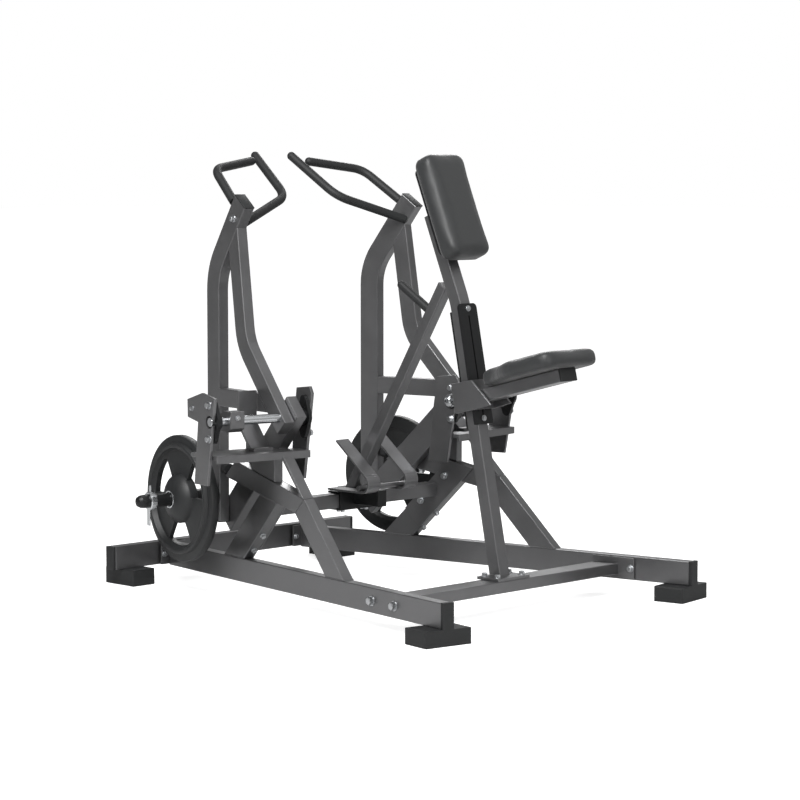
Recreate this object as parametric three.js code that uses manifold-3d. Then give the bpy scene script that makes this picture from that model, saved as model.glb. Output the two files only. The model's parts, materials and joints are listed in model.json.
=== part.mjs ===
// Plate-loaded, chest-supported T bar row with two independent lever arms.
// Millimetres, +Z up. +Y is the way the user faces, +X is the user's right.
// The origin is on the floor, under the middle of the machine's bounding box.
import * as THREE from "three";
import * as BufferGeometryUtils from "three/addons/utils/BufferGeometryUtils.js";
import Module from "manifold-3d";

const wasm = await Module();
wasm.setup();

// ---- driving dimensions -------------------------------------------------
const CENTRE_SHIFT = -51.4; // moves the whole machine along Y onto its bounding-box centre
const GAP = 0.3; // clearance kept between neighbouring pieces
const ROUND = 3; // corner radius of the steel tubes

const SPLAY = THREE.MathUtils.degToRad(9.9); // each side rail turns out towards the front
const RAIL_FRONT_X = 632;
const RAIL_FRONT_Y = -855;
const RAIL_START = 24;
const RAIL_LENGTH = 1737;
const TUBE_WIDTH = 42;
const TUBE_DEPTH = 85;
const RAIL_BOTTOM = 55;
const RAIL_TOP = RAIL_BOTTOM + TUBE_DEPTH;
const CROSSBAR_Y = 863;
const CROSSBAR_HALF = 600;
const FOOT_SIZE = [104, 158, RAIL_BOTTOM - GAP];

const PIVOT = [975, 660]; // along the rail, height
const SHAFT_RADIUS = 16;
const ARM_DEPTH = 80;
const ARM_WIDTH = 42;
const LEVER_O = -43; // the lever runs beside the frame, on the inboard side
const REAR_TUBE_A = 1406;
const REAR_TUBE_BOTTOM = 256;
const HEAD_LEAN = THREE.MathUtils.degToRad(36.3);
const HORN = [REAR_TUBE_A, 346];
const HORN_RADIUS = 24;
const PLATE_RADIUS = 227.5;
const PLATE_INNER_O = 136;
const PLATE_THICKNESS = 45;
const BEARING_PLATE_THICKNESS = 12;
const BEARING_PLATE_O = [-106, 288];
const GRIP_RADIUS = 16;

const LEAN = THREE.MathUtils.degToRad(11.5); // the seat column leans towards the pad
const COLUMN_FOOT = [-513, 123];
const COLUMN_SIZE = 50;
const PAD_LEAN = THREE.MathUtils.degToRad(22.8);

// ---- materials ----------------------------------------------------------
const steel = new THREE.MeshStandardMaterial({ color: 0x6a6b6c, roughness: 0.5, metalness: 0.3 });
const chrome = new THREE.MeshStandardMaterial({ color: 0xc8c8c8, roughness: 0.2, metalness: 1 });
const castIron = new THREE.MeshStandardMaterial({ color: 0x303334, roughness: 0.6, metalness: 0.3 });
const rubber = new THREE.MeshStandardMaterial({ color: 0x1d1f20, roughness: 0.8, metalness: 0 });
const plateCoat = new THREE.MeshStandardMaterial({ color: 0x232526, roughness: 0.6, metalness: 0 });
const leather = new THREE.MeshStandardMaterial({ color: 0x2e3031, roughness: 0.6, metalness: 0 });

// ---- small shape helpers ------------------------------------------------
const point = (x, y) => new THREE.Vector2(x, y);
const outlineOf = (pairs) => pairs.map(([x, y]) => point(x, y));

// Outline lies in the Y-Z plane and is given thickness along X, centred on x.
function slab(outline, thickness, x = 0, round = ROUND) {
  const shape = Array.isArray(outline) ? new THREE.Shape(outline) : outline;
  const settings = { depth: thickness, bevelEnabled: false, curveSegments: 10 };
  if (round > 0) {
    settings.depth = thickness - 2 * round;
    settings.bevelEnabled = true;
    settings.bevelSize = round;
    settings.bevelOffset = -round;
    settings.bevelThickness = round;
    settings.bevelSegments = 2;
  }
  const geometry = new THREE.ExtrudeGeometry(shape, settings);
  geometry.translate(0, 0, -settings.depth / 2);
  geometry.applyMatrix4(
    new THREE.Matrix4().makeBasis(
      new THREE.Vector3(0, 1, 0),
      new THREE.Vector3(0, 0, 1),
      new THREE.Vector3(1, 0, 0),
    ),
  );
  return geometry.translate(x, 0, 0);
}

// Outline lies in the X-Y plane and rises from z by the given height.
function plan(outline, height, z, round = ROUND) {
  const settings = { depth: height, bevelEnabled: false };
  if (round > 0) {
    settings.depth = height - 2 * round;
    settings.bevelEnabled = true;
    settings.bevelSize = round;
    settings.bevelOffset = -round;
    settings.bevelThickness = round;
    settings.bevelSegments = 2;
  }
  const geometry = new THREE.ExtrudeGeometry(new THREE.Shape(outline), settings);
  return geometry.translate(0, 0, z + round);
}

function box(x0, x1, y0, y1, z0, z1, round = ROUND) {
  const outline = outlineOf([[y0, z0], [y1, z0], [y1, z1], [y0, z1]]);
  return slab(outline, x1 - x0, (x0 + x1) / 2, round);
}

// Round bar or disc along X, from one x to another, centred on a Y-Z point.
function barX(radius, x0, x1, [y, z], sides = 32) {
  const geometry = new THREE.CylinderGeometry(radius, radius, x1 - x0, sides);
  return geometry.rotateZ(-Math.PI / 2).translate((x0 + x1) / 2, y, z);
}

// Turned piece about the X axis through a Y-Z point; the profile is [x, radius] pairs.
function turnedX(profile, [y, z], sides = 40) {
  const points = profile.map(([x, radius]) => point(radius, x));
  const geometry = new THREE.LatheGeometry(points, sides);
  return geometry.rotateZ(-Math.PI / 2).translate(0, y, z);
}

// Side outline of a tube that follows straight runs with one bend radius between them.
// ends holds how far the first and last cuts lean: [first, last], along the left edge.
function bentTube(corners, depth, radius, ends = [0, 0]) {
  const left = [];
  const right = [];
  const put = (at, along, lean = 0) => {
    const across = point(-along.y, along.x).multiplyScalar(depth / 2);
    left.push(at.clone().add(across).addScaledVector(along, lean));
    right.unshift(at.clone().sub(across).addScaledVector(along, -lean));
  };
  const last = corners.length - 1;
  for (let i = 0; i <= last; i += 1) {
    const into = i > 0 ? corners[i].clone().sub(corners[i - 1]).normalize() : null;
    const away = i < last ? corners[i + 1].clone().sub(corners[i]).normalize() : null;
    if (!into) put(corners[i], away, ends[0]);
    else if (!away) put(corners[i], into, ends[1]);
    else {
      const turn = Math.atan2(into.cross(away), into.dot(away));
      const setback = radius * Math.tan(Math.abs(turn) / 2);
      const start = corners[i].clone().addScaledVector(into, -setback);
      const side = point(-into.y, into.x).multiplyScalar(Math.sign(turn) * radius);
      const centre = start.clone().add(side);
      const steps = Math.max(2, Math.ceil(Math.abs(turn) / 0.1));
      for (let k = 0; k <= steps; k += 1) {
        const angle = (turn * k) / steps;
        const at = start.clone().rotateAround(centre, angle);
        put(at, into.clone().rotateAround(point(0, 0), angle));
      }
    }
  }
  return [...left, ...right];
}

// Round rod along a 3-D line of corners, with a domed tip at its far end.
function rod(corners, radius, bend) {
  const path = new THREE.CurvePath();
  let from = corners[0];
  for (let i = 1; i < corners.length - 1; i += 1) {
    const before = corners[i].clone().sub(corners[i - 1]).setLength(bend);
    const after = corners[i + 1].clone().sub(corners[i]).setLength(bend);
    const start = corners[i].clone().sub(before);
    const finish = corners[i].clone().add(after);
    path.add(new THREE.LineCurve3(from, start));
    path.add(new THREE.QuadraticBezierCurve3(start, corners[i], finish));
    from = finish;
  }
  path.add(new THREE.LineCurve3(from, corners.at(-1)));
  const section = new THREE.Shape();
  section.absarc(0, 0, radius, 0, Math.PI * 2);
  const settings = { extrudePath: path, steps: 15, bevelEnabled: false, curveSegments: 7 };
  const tube = new THREE.ExtrudeGeometry(section, settings);
  const tip = new THREE.SphereGeometry(radius * 0.999, 14, 8).translate(...corners.at(-1));
  return join(tube, tip);
}

// ---- joins and cuts -----------------------------------------------------
function toSolid(geometry) {
  const bare = geometry.clone();
  for (const name of Object.keys(bare.attributes)) {
    if (name !== "position") bare.deleteAttribute(name);
  }
  const merged = BufferGeometryUtils.mergeVertices(bare, 1e-3);
  return new wasm.Manifold(
    new wasm.Mesh({
      numProp: 3,
      vertProperties: Float32Array.from(merged.attributes.position.array),
      triVerts: Uint32Array.from(merged.index.array),
    }),
  );
}

function toGeometry(solid) {
  const mesh = solid.getMesh();
  const geometry = new THREE.BufferGeometry();
  geometry.setAttribute("position", new THREE.BufferAttribute(mesh.vertProperties, 3));
  geometry.setIndex(new THREE.BufferAttribute(mesh.triVerts, 1));
  return geometry;
}

const join = (first, ...others) =>
  toGeometry(others.reduce((solid, other) => solid.add(toSolid(other)), toSolid(first)));
const cut = (first, ...cutters) =>
  toGeometry(cutters.reduce((solid, cutter) => solid.subtract(toSolid(cutter)), toSolid(first)));

// The mirror image across X, with its faces still pointing out.
function mirrored(geometry) {
  const copy = geometry.index ? geometry.toNonIndexed() : geometry.clone();
  copy.scale(-1, 1, 1);
  const { array } = copy.attributes.position;
  for (let i = 0; i < array.length; i += 9) {
    for (let k = 0; k < 3; k += 1) {
      [array[i + 3 + k], array[i + 6 + k]] = [array[i + 6 + k], array[i + 3 + k]];
    }
  }
  copy.computeVertexNormals();
  return copy;
}

function piece(parent, name, geometry, material) {
  const mesh = new THREE.Mesh(geometry, material);
  mesh.name = name;
  parent.add(mesh);
  return mesh;
}

const machine = new THREE.Group();
machine.position.y = CENTRE_SHIFT;

// ---- base: rear, front and middle cross members -------------------------
const CROSSBAR_BOTTOM = 60;
const CROSSBAR_TOP = CROSSBAR_BOTTOM + TUBE_DEPTH;
const crossbarBack = CROSSBAR_Y + TUBE_WIDTH;
piece(
  machine,
  "rear_crossbar",
  box(-CROSSBAR_HALF, CROSSBAR_HALF, CROSSBAR_Y, crossbarBack, CROSSBAR_BOTTOM, CROSSBAR_TOP),
  steel,
);

const REAR_FOOT_X = 515;
const REAR_FOOT_Y = CROSSBAR_Y + TUBE_WIDTH / 2;
const rearFoot = () => {
  const [width, length] = FOOT_SIZE;
  const y0 = REAR_FOOT_Y - length / 2;
  return box(-width / 2, width / 2, y0, y0 + length, 0, CROSSBAR_BOTTOM - GAP, 4);
};

// Half-spacing of a rail's inner face at a given Y, for members that run between the rails.
function innerFaceX(y, offset = TUBE_WIDTH / 2) {
  const along = (y - RAIL_FRONT_Y) / Math.cos(SPLAY);
  return RAIL_FRONT_X - along * Math.sin(SPLAY) - offset / Math.cos(SPLAY);
}

// A straight member between the two rails, its ends cut to meet their splayed faces.
function between(y0, y1, offset, height, z) {
  const front = innerFaceX(y0, offset) - GAP;
  const back = innerFaceX(y1, offset) - GAP;
  return plan(outlineOf([[-front, y0], [front, y0], [back, y1], [-back, y1]]), height, z);
}

const FRONT_BAR_Y = [-560, -470];
const FRONT_BAR_Z = [73, 113];
piece(
  machine,
  "front_crossbar",
  between(...FRONT_BAR_Y, TUBE_WIDTH / 2, FRONT_BAR_Z[1] - FRONT_BAR_Z[0], FRONT_BAR_Z[0]),
  steel,
);

const MID_BAR_Y = [214, 264];
const MID_BAR_Z = [300, 351];
const FLANGE_THICKNESS = 8;
piece(
  machine,
  "mid_crossbar",
  between(
    ...MID_BAR_Y,
    TUBE_WIDTH / 2 + FLANGE_THICKNESS,
    MID_BAR_Z[1] - MID_BAR_Z[0],
    MID_BAR_Z[0],
  ),
  steel,
);

// ---- footrest -----------------------------------------------------------
// A short boom rides over the middle cross member and carries two bent foot plates.
const BOOM_WIDTH = 44;
const boomOutline = outlineOf([
  [84, 309], [MID_BAR_Y[0] - GAP, 309], [MID_BAR_Y[0] - GAP, MID_BAR_Z[1] + GAP],
  [296, MID_BAR_Z[1] + GAP], [296, 367], [84, 367],
]);
const SADDLE = { half: 92, thickness: 8, low: 291.5, back: 272 };
function footrestBoom() {
  const { half, thickness, low, back } = SADDLE;
  const front = MID_BAR_Y[0] - GAP - thickness;
  const top = MID_BAR_Z[1] + GAP + thickness;
  const face = box(-half, half, front, front + thickness, low, top, 1.5);
  const lid = box(-half, half, front, back, top - thickness, top, 1.5);
  const tray = box(-half, half, front, back, low, low + thickness, 1.5);
  return join(slab(boomOutline, BOOM_WIDTH), face, lid, tray);
}
piece(machine, "footrest_boom", footrestBoom(), castIron);

const STRAP = 7;
const FOOT_PLATE_WIDTH = 62;
const FOOT_PLATE_X = 96;
const FOOT_BEND_RADIUS = 32;
const footPlate = () => {
  const line = outlineOf([[194, 549], [-28, 371], [238, 371]]);
  return slab(bentTube(line, STRAP, FOOT_BEND_RADIUS), FOOT_PLATE_WIDTH, 0, 1.5);
};
piece(machine, "foot_plate_left", footPlate().translate(-FOOT_PLATE_X, 0, 0), steel);
piece(machine, "foot_plate_right", footPlate().translate(FOOT_PLATE_X, 0, 0), steel);

const footBarX = FOOT_PLATE_X + FOOT_PLATE_WIDTH / 2;
piece(machine, "foot_bar", barX(10, -footBarX, footBarX, [78, 385.2], 20), steel);

// ---- seat column --------------------------------------------------------
// Everything fixed along the column uses its own frame: x across, y to the rear
// of its front face, z up its length.
const columnFrame = new THREE.Group();
columnFrame.position.set(0, ...COLUMN_FOOT);
columnFrame.rotation.x = -LEAN;
machine.add(columnFrame);

const COLUMN_BEND = 958;
const columnLine = [
  point(COLUMN_SIZE / 2, 0),
  point(COLUMN_SIZE / 2, COLUMN_BEND),
  point(COLUMN_SIZE / 2, COLUMN_BEND)
    .add(point(Math.sin(PAD_LEAN - LEAN), Math.cos(PAD_LEAN - LEAN)).multiplyScalar(330)),
];
const footLean = (COLUMN_SIZE / 2) * Math.tan(LEAN);
const columnTube = slab(bentTube(columnLine, COLUMN_SIZE, 240, [-footLean, 0]), COLUMN_SIZE);
columnTube.rotateX(-LEAN).translate(0, ...COLUMN_FOOT);
const BASE_PLATE = 10 - GAP;
const basePlate = box(
  -80, 80, -556, -455, FRONT_BAR_Z[1] + GAP, FRONT_BAR_Z[1] + GAP + BASE_PLATE, 2,
);
piece(machine, "seat_column", join(columnTube, basePlate), steel);

const GUIDE_PLATE = { width: 90, thickness: 8, low: 528, high: 950, corner: 16 };
function guidePlate() {
  const { width, thickness, low, high, corner } = GUIDE_PLATE;
  const half = width / 2;
  const shape = new THREE.Shape();
  shape.moveTo(-half, low);
  shape.lineTo(half, low);
  shape.lineTo(half, high - corner);
  shape.absarc(half - corner, high - corner, corner, 0, Math.PI / 2);
  shape.lineTo(-half + corner, high);
  shape.absarc(-half + corner, high - corner, corner, Math.PI / 2, Math.PI);
  const slot = new THREE.Path();
  slot.moveTo(3, low + 30);
  slot.lineTo(3, high - 45);
  slot.absarc(0, high - 45, 3, 0, Math.PI);
  slot.lineTo(-3, low + 30);
  slot.absarc(0, low + 30, 3, Math.PI, Math.PI * 2);
  shape.holes.push(slot);
  const settings = { depth: thickness, bevelEnabled: false, curveSegments: 6 };
  const geometry = new THREE.ExtrudeGeometry(shape, settings);
  return geometry.rotateX(Math.PI / 2).translate(0, -GAP, 0);
}
piece(columnFrame, "guide_plate", guidePlate(), castIron);

// The wear strip on the column's rear face, which the carriage's pull pin bears on.
const RACK = { low: 520, high: 930, thickness: 14, width: 36 };
function rack() {
  const { low, high, thickness, width } = RACK;
  const near = COLUMN_SIZE + GAP;
  return box(-width / 2, width / 2, near, near + thickness, low, high, 2);
}
piece(columnFrame, "height_rack", rack(), castIron);

// ---- chest pad ----------------------------------------------------------
const padFrame = new THREE.Group();
padFrame.position.set(0, -282, 1199);
padFrame.rotation.x = -PAD_LEAN;
machine.add(padFrame);

const PAD = { width: 194, thickness: 82, length: 384, low: -10, corner: 34 };
function roundedRect(x0, x1, y0, y1, corner) {
  const shape = new THREE.Shape();
  shape.moveTo(x0 + corner, y0);
  shape.absarc(x1 - corner, y0 + corner, corner, -Math.PI / 2, 0);
  shape.absarc(x1 - corner, y1 - corner, corner, 0, Math.PI / 2);
  shape.absarc(x0 + corner, y1 - corner, corner, Math.PI / 2, Math.PI);
  shape.absarc(x0 + corner, y0 + corner, corner, Math.PI, Math.PI * 1.5);
  return shape;
}
const PAD_BOARD = 12;
function chestPad() {
  const { width, thickness, length, low, corner } = PAD;
  const round = 18;
  const shape = roundedRect(-width / 2, width / 2, low, low + length, corner);
  const settings = {
    depth: thickness - 2 * round,
    bevelSize: round,
    bevelOffset: -round,
    bevelThickness: round,
    bevelSegments: 3,
    curveSegments: 6,
  };
  const geometry = new THREE.ExtrudeGeometry(shape, settings);
  return geometry.rotateX(Math.PI / 2).translate(0, -PAD_BOARD - round, 0);
}
piece(padFrame, "chest_pad", chestPad(), leather);
function padBoard() {
  const board = roundedRect(-78, 78, 22, PAD.length - 42, 20);
  const settings = { depth: PAD_BOARD - 2 * GAP, bevelEnabled: false, curveSegments: 5 };
  const geometry = new THREE.ExtrudeGeometry(board, settings);
  return geometry.rotateX(Math.PI / 2).translate(0, -GAP, 0);
}
piece(padFrame, "pad_board", padBoard(), castIron);

// ---- diagonal brace and assist grip -------------------------------------
const DIAGONAL_WIDTH = 42;
const DIAGONAL_DEPTH = 40;
const diagonalLow = point(233, 367 + GAP);
const diagonalHigh = point(-229, 1115);
const diagonalWay = diagonalHigh.clone().sub(diagonalLow).normalize();
const diagonalFoot = (DIAGONAL_DEPTH / 2) * (diagonalWay.x / diagonalWay.y);
const diagonalOutline = bentTube(
  [diagonalLow, diagonalHigh], DIAGONAL_DEPTH, 1, [-diagonalFoot, 0],
);
const columnCutter = slab(bentTube(columnLine, COLUMN_SIZE + 2 * GAP, 240), 60, 0, 0);
columnCutter.rotateX(-LEAN).translate(0, ...COLUMN_FOOT);
const diagonalTube = cut(slab(diagonalOutline, DIAGONAL_WIDTH), columnCutter);
piece(machine, "diagonal_brace", diagonalTube, steel);

const gripRoot = diagonalLow.clone().lerp(diagonalHigh, 0.866);
const gripOut = point(diagonalWay.y, -diagonalWay.x);
const gripStart = gripRoot.clone().addScaledVector(gripOut, DIAGONAL_DEPTH / 2 + GAP);
const gripEnd = gripStart.clone().addScaledVector(gripOut, 160);
const assistLine = [gripStart, gripEnd].map((p) => new THREE.Vector3(0, p.x, p.y));
piece(machine, "assist_grip", rod(assistLine, GRIP_RADIUS, 0), rubber);

// ---- seat ---------------------------------------------------------------
// The carriage wraps the column and its guide plate and slides on both.
const SEAT_S = 630; // middle of the carriage, measured up the column
const CARRIAGE = { low: -52, high: 52, side: 8, inner: 46, front: -18, back: COLUMN_SIZE + 16 };
function carriage() {
  const { low, high, side, inner, front, back } = CARRIAGE;
  const outer = inner + side;
  const sleeve = box(-outer, outer, front - side, back + side, SEAT_S + low, SEAT_S + high, 2);
  const bore = box(-inner, inner, front, back, SEAT_S + low - 9, SEAT_S + high + 9, 0);
  const wingOutline = outlineOf([
    [-100, SEAT_S - 46], [-10, SEAT_S - 52], [-10, SEAT_S + 52], [-24, SEAT_S + 52],
  ]);
  const wings = [-1, 1].map((s) => slab(wingOutline, side, s * (outer - side / 2), 2));
  const pinBoss = new THREE.CylinderGeometry(15, 15, 30, 24).translate(0, back + 20, SEAT_S);
  const pinBore = new THREE.CylinderGeometry(8.5, 8.5, 60, 24).translate(0, back + 20, SEAT_S);
  return cut(join(sleeve, ...wings, pinBoss), bore, pinBore);
}
piece(columnFrame, "seat_carriage", carriage(), steel);

// Spring plunger: a pin that drops into the rack, with a knob behind the carriage.
const PIN_TIP = COLUMN_SIZE + RACK.thickness + 1;
const pinProfile = [
  [0, 0], [0, 8], [58, 8], [58, 19], [62, 22], [80, 22], [84, 19], [84, 0],
].map(([along, radius]) => point(radius, along));
const plunger = new THREE.LatheGeometry(pinProfile, 28).translate(0, PIN_TIP, SEAT_S);
piece(columnFrame, "seat_pin", plunger, chrome);

// Cantilevered tube under the cushion, rising away from the column.
const SEAT_RISE = THREE.MathUtils.degToRad(14);
const seatFrame = new THREE.Group();
const SEAT_ROOT = [-440, 722];
seatFrame.position.set(0, ...SEAT_ROOT);
seatFrame.rotation.x = -SEAT_RISE;
machine.add(seatFrame);
const SEAT_TUBE = { width: 80, height: 44, near: 14, far: -368 };
const seatTube = box(
  -SEAT_TUBE.width / 2, SEAT_TUBE.width / 2, SEAT_TUBE.far, SEAT_TUBE.near, 0, SEAT_TUBE.height,
);
const carriageClear = box(-56, 56, CARRIAGE.front - 8 - GAP, 90, SEAT_S - 90, SEAT_S + 90, 0);
carriageClear.rotateX(-LEAN).translate(0, ...COLUMN_FOOT);
carriageClear.translate(0, -SEAT_ROOT[0], -SEAT_ROOT[1]).rotateX(SEAT_RISE);
piece(seatFrame, "seat_tube", cut(seatTube, carriageClear), steel);

const SEAT = { length: 392, narrow: 56, wide: 138, thickness: 58, near: -22 };
function seatPad() {
  const { length, narrow, wide, thickness, near } = SEAT;
  const far = near - length;
  const shape = new THREE.Shape();
  shape.moveTo(-narrow + 20, near);
  shape.lineTo(narrow - 20, near);
  shape.quadraticCurveTo(narrow, near, narrow + 2, near - 20);
  shape.bezierCurveTo(narrow + 12, near - 110, wide - 6, near - 130, wide, near - 215);
  shape.lineTo(wide, far + 46);
  shape.quadraticCurveTo(wide, far, wide - 46, far);
  shape.lineTo(-wide + 46, far);
  shape.quadraticCurveTo(-wide, far, -wide, far + 46);
  shape.lineTo(-wide, near - 215);
  shape.bezierCurveTo(-wide + 6, near - 130, -narrow - 12, near - 110, -narrow - 2, near - 20);
  shape.quadraticCurveTo(-narrow, near, -narrow + 20, near);
  const round = 16;
  const settings = {
    depth: thickness - 2 * round,
    bevelSize: round,
    bevelOffset: -round,
    bevelThickness: round,
    bevelSegments: 3,
    curveSegments: 6,
  };
  const geometry = new THREE.ExtrudeGeometry(shape, settings);
  return geometry.translate(0, 0, SEAT_TUBE.height + GAP + round);
}
piece(seatFrame, "seat_pad", seatPad(), leather);

// ---- one side: outline points are (along the rail, height) ----------------
const strutOutline = outlineOf([[574.3, 140.3], [684.8, 140.3], [874, 339.5], [815, 392]]);
const braceLow = [[871, 339], [1328, 424]];
const braceOutline = outlineOf([...braceLow, [1260, 486], [815, 392]]);
const postOutline = outlineOf([[1203.7, 140.3], [1339.7, 140.3], [1050, 430], [910, 434]]);

// A cutter a little larger than an outline, for a piece that butts against it.
function grown(outline, thickness = 80) {
  const centre = outline.reduce((sum, p) => sum.add(p), point(0, 0)).divideScalar(outline.length);
  const bigger = outline.map((p) => {
    const away = p.clone().sub(centre);
    return p.clone().addScaledVector(away.normalize(), 2 * GAP);
  });
  return slab(bigger, thickness, 0, 0);
}

function rail() {
  const half = TUBE_WIDTH / 2;
  const end = RAIL_LENGTH - FLANGE_THICKNESS;
  const skew = half * Math.tan(SPLAY);
  const tube = plan(
    outlineOf([
      [-half, RAIL_START], [half, RAIL_START], [half, end - skew], [-half, end + skew],
    ]),
    TUBE_DEPTH,
    RAIL_BOTTOM,
  );
  const endPlate = box(-60, 60, -FLANGE_THICKNESS, 0, RAIL_BOTTOM + 5, RAIL_TOP, 1.5);
  endPlate.rotateZ(-SPLAY).translate(0, RAIL_LENGTH - 1, 0);
  return join(tube, endPlate);
}

// Moulded boot: a cap over the rail's open end, in one with the wide floor pad under it.
function frontBoot() {
  const half = TUBE_WIDTH / 2;
  const front = RAIL_START - 14;
  const cap = box(-half - 1.5, half + 1.5, front, RAIL_START - GAP, 20, RAIL_TOP + 1.5, 2);
  const pad = box(-92, 92, front, front + 114, 0, RAIL_BOTTOM - GAP, 4);
  return join(pad, cap);
}

const PLATFORM = { front: 945, back: 1118, top: 544, thickness: 14 };
const platformInner = BEARING_PLATE_O[0] + BEARING_PLATE_THICKNESS + GAP;
const platformOuter = BEARING_PLATE_O[1] - GAP;
function platform() {
  const { front, back, top, thickness } = PLATFORM;
  const bottom = top - thickness;
  const deck = box(platformInner, platformOuter, front, back, bottom, top, 1.5);
  const lip = box(platformInner, platformOuter, front, front + 8, bottom - 12, top - 2, 1.5);
  const riser = slab(
    outlineOf([[1006, bottom + 2], [1156, bottom + 2], [1156, 464.6], [1006, 432.9]]), 36,
  );
  const bar = slab(
    outlineOf([[818, 393.4], [836, 397.1], [968, bottom + 2], [948, bottom + 2]]), TUBE_WIDTH, 0, 1.5,
  );
  const tower = slab(
    outlineOf([[1012, top - 2], [1104, 640], [1104, 748], [1116, 748], [1116, 634], [1030, top - 2]]),
    76, 64, 2,
  );
  const step = box(24, 104, 1000, 1036, top - 2, top + 12, 2);
  const gusset = slab(outlineOf([[1030, top - 2], [1112, top - 2], [1112, 630]]), 8, 64, 0);
  const notch = box(-120, -20, 1034, 1200, 400, 600, 0);
  return cut(join(deck, lip, riser, bar, tower, step, gusset), notch);
}

const POST_FLANGE = outlineOf([[1167, 177], [1235, 245], [1048, 432], [1040, 440], [930, 414]]);
function rearPost() {
  const post = cut(slab(postOutline, TUBE_WIDTH), grown(outlineOf([...braceLow, [1400, 600], [760, 600]])));
  const inner = -TUBE_WIDTH / 2 - FLANGE_THICKNESS / 2 + 0.5;
  return join(post, slab(POST_FLANGE, FLANGE_THICKNESS - 1, inner, 1));
}

const outerPlateOutline = outlineOf([
  [991, 440], [1076, 440], [1050, 655], [1118, 668], [1120, 730], [1024, 757], [940, 742],
]);
const innerPlateOutline = outlineOf([
  [991, 440], [1076, 440], [1052, 655], [1036, 757], [955, 766], [940, 742],
]);
function bearingPlate(outline, o) {
  const middle = o + BEARING_PLATE_THICKNESS / 2;
  const hole = barX(SHAFT_RADIUS + 6, o - 5, o + BEARING_PLATE_THICKNESS + 5, PIVOT, 32);
  return cut(slab(outline, BEARING_PLATE_THICKNESS, middle, 2), hole);
}

// Two-bolt flange bearing: an oval flange with a raised ring round the shaft.
const BOLT_REACH = 58;
function flangeBearing(from, towards) {
  const outline = new THREE.Shape();
  outline.absarc(PIVOT[0], PIVOT[1] + BOLT_REACH, 17, 0.35, Math.PI - 0.35);
  outline.absarc(PIVOT[0], PIVOT[1], 40, Math.PI * 0.78, Math.PI * 1.22);
  outline.absarc(PIVOT[0], PIVOT[1] - BOLT_REACH, 17, Math.PI + 0.35, Math.PI * 2 - 0.35);
  outline.absarc(PIVOT[0], PIVOT[1], 40, -Math.PI * 0.22, Math.PI * 0.22);
  const start = from + towards * GAP;
  const flange = slab(outline, 13, start + towards * 6.5, 0);
  const ends = [start, start + towards * 24].sort((a, b) => a - b);
  const ring = barX(29, ends[0], ends[1], PIVOT, 28);
  const bore = barX(SHAFT_RADIUS + GAP, ends[0] - 5, ends[1] + 5, PIVOT, 28);
  return cut(join(flange, ring), bore);
}

// ---- lever arm ----------------------------------------------------------
const headWay = point(-Math.sin(HEAD_LEAN), Math.cos(HEAD_LEAN));
const rearTubeTop = point(REAR_TUBE_A, 1153).addScaledVector(headWay, 312);
const rearTubeLine = [point(REAR_TUBE_A, REAR_TUBE_BOTTOM), point(REAR_TUBE_A, 1153), rearTubeTop];
const frontTubeLine = [point(957, 624), point(1214.5, 907), point(1275.7, 1335)];
const FRONT_TUBE_DEPTH = 66;
const leverOutline = outlineOf([[922, 663], [990, 731], [1435, 285], [1367, 218]]);
const crossOutline = outlineOf([[1030, 673], [1440, 673], [1440, 737], [1030, 737]]);

const rearTubeCutter = () =>
  slab(bentTube(rearTubeLine, ARM_DEPTH + 2 * GAP, 205), 60, 0, 0);
const frontTubeCutter = () =>
  slab(bentTube(frontTubeLine, FRONT_TUBE_DEPTH + 2 * GAP, 180), 60, 0, 0);

function rearTube() {
  const horn = barX(12, -30, 30, HORN, 24);
  return cut(slab(bentTube(rearTubeLine, ARM_DEPTH, 205), ARM_WIDTH), horn);
}

function frontTube() {
  const tube = slab(bentTube(frontTubeLine, FRONT_TUBE_DEPTH, 180), ARM_WIDTH);
  return cut(tube, rearTubeCutter(), barX(SHAFT_RADIUS + GAP, -40, 40, PIVOT, 32));
}

function lever() {
  const bore = barX(SHAFT_RADIUS + GAP, LEVER_O - 40, LEVER_O + 40, PIVOT, 32);
  return cut(slab(leverOutline, ARM_WIDTH, LEVER_O), bore);
}

function crossTube() {
  const tube = slab(crossOutline, ARM_WIDTH);
  return cut(tube, rearTubeCutter(), frontTubeCutter());
}

// The shaft turns in both bearings and carries a split clamp near the outer one.
function shaft() {
  const bar = barX(SHAFT_RADIUS, BEARING_PLATE_O[0] + 2, BEARING_PLATE_O[1] + 10, PIVOT, 32);
  const [a, z] = PIVOT;
  const clampOutline = outlineOf([
    [a - 34, z - 24], [a - 14, z - 38], [a + 34, z - 38], [a + 34, z + 24], [a + 16, z + 34],
    [a - 34, z + 34],
  ]);
  return join(bar, slab(clampOutline, 56, 207, 2));
}

function horn() {
  const root = ARM_WIDTH / 2 + GAP;
  const profile = [
    [root, 0], [root, 44], [root + 10, 44], [root + 10, 30], [122, 30], [122, 44],
    [135.5, 44], [135.5, HORN_RADIUS], [312, HORN_RADIUS], [325, 22.4], [336, 17], [341, 8], [342, 0],
  ];
  return turnedX(profile, HORN, 40);
}

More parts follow.
